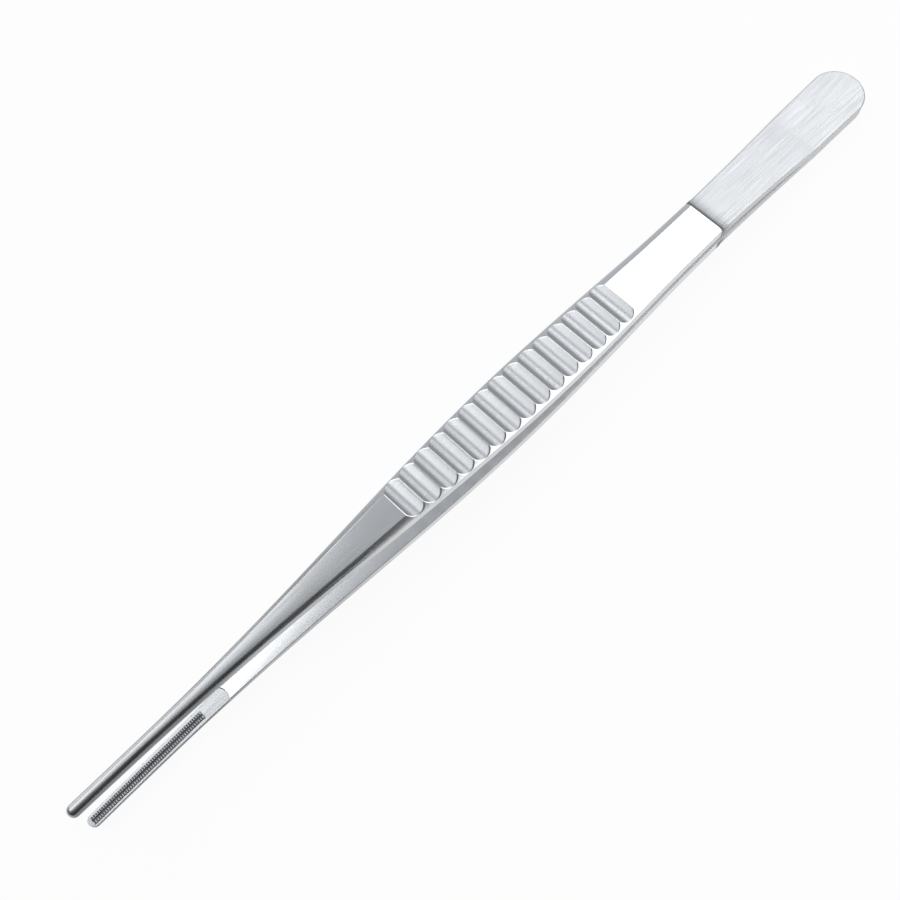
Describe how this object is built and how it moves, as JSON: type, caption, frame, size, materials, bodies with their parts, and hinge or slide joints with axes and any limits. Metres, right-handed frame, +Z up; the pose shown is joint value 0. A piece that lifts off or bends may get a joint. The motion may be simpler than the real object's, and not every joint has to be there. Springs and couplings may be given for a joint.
{
  "type": "thumb forceps",
  "caption": "Long steel tissue forceps with a welded tail, scalloped grips and slender half-round jaws with fine toothed rows.",
  "frame": {"origin": "middle of the overall length and width, on the surface that the forceps lie on", "axes": "+X from the tail towards the jaws, +Y across the arms, +Z up from the lower arm to the upper arm"},
  "size_m": [0.2402, 0.0132, 0.0192],
  "materials": {
    "satin_steel": "satin ground stainless steel"
  },
  "bodies": {
    "root": {"upper_arm": "satin_steel", "lower_arm": "satin_steel"}
  },
  "joints": []
}
